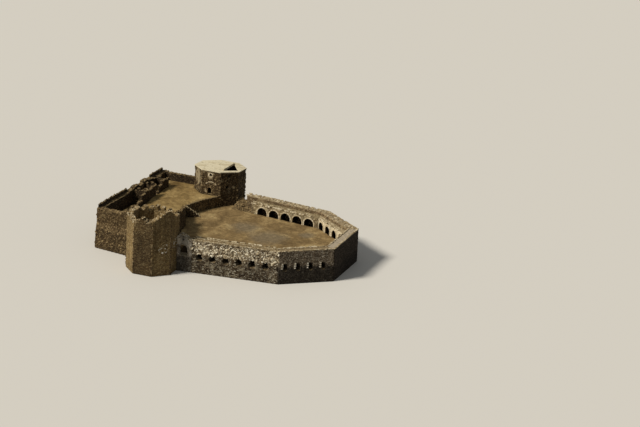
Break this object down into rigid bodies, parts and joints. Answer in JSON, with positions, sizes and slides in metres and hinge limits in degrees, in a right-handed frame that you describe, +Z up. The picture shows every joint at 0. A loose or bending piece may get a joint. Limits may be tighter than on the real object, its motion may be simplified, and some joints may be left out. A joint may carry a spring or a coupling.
{
  "type": "one-tenth scale model of a ruined coastal castle",
  "caption": "Ruined coastal castle at one tenth of real size: a sea battery of vaulted casemates, octagonal towers, a gate wall and a raised court with ruined rooms.",
  "frame": {"origin": "on the lowest ground that a wall stands on, midway between the centres of the octagonal towers", "axes": "+X east along the castle's axis towards the point of the sea battery, +Y north, +Z up"},
  "size_m": [7.6103, 6.5672, 2.05],
  "materials": {
    "battery_rubble_stone": "rough rubble stone with wide mortar",
    "casemate_plaster": "worn lime plaster over rubble stone",
    "court_rubble_stone": "rough weathered rubble stone",
    "fallen_rubble": "loose fallen stone",
    "north_tower_rubble_stone": "rubble stone with traces of plaster",
    "roof_plaster": "smooth pale lime plaster with stains",
    "sandy_earth": "dry sandy earth",
    "south_tower_stone": "weathered squared stone"
  },
  "bodies": {
    "root": {"battery_breach_rubble": "fallen_rubble", "battery_east_wall": "battery_rubble_stone", "battery_north_wall": "battery_rubble_stone", "battery_northeast_wall": "battery_rubble_stone", "battery_south_wall": "battery_rubble_stone", "battery_southeast_wall": "battery_rubble_stone", "casemate_earth": "sandy_earth", "court_retaining_wall": "court_rubble_stone", "court_stair": "court_rubble_stone", "gate_ramp": "sandy_earth", "gate_wall": "battery_rubble_stone", "lower_court_fill": "sandy_earth", "north_casemates": "casemate_plaster", "north_tower_east_wall": "north_tower_rubble_stone", "north_tower_ground_floor": "north_tower_rubble_stone", "north_tower_north_wall": "north_tower_rubble_stone", "north_tower_northeast_wall": "north_tower_rubble_stone", "north_tower_northwest_wall": "north_tower_rubble_stone", "north_tower_roof_east": "roof_plaster", "north_tower_roof_kerb": "roof_plaster", "north_tower_roof_west": "roof_plaster", "north_tower_south_wall": "north_tower_rubble_stone", "north_tower_southeast_wall": "north_tower_rubble_stone", "north_tower_southwest_wall": "north_tower_rubble_stone", "north_tower_upper_floor": "north_tower_rubble_stone", "north_tower_west_wall": "north_tower_rubble_stone", "northeast_casemates": "casemate_plaster", "south_casemates": "casemate_plaster", "south_tower_east_wall": "south_tower_stone", "south_tower_north_wall": "south_tower_stone", "south_tower_northeast_wall": "south_tower_stone", "south_tower_northwest_wall": "south_tower_stone", "south_tower_rubble": "fallen_rubble", "south_tower_south_wall": "south_tower_stone", "south_tower_southeast_wall": "south_tower_stone", "south_tower_southwest_wall": "south_tower_stone", "south_tower_west_wall": "south_tower_stone", "southeast_casemates": "casemate_plaster", "tower_link_wall": "court_rubble_stone", "upper_court_fill": "sandy_earth", "upper_court_north_wall": "court_rubble_stone", "upper_court_southwest_wall": "court_rubble_stone", "upper_court_west_wall": "court_rubble_stone", "west_range_cross_walls": "court_rubble_stone", "west_range_front_wall": "court_rubble_stone"}
  },
  "joints": []
}
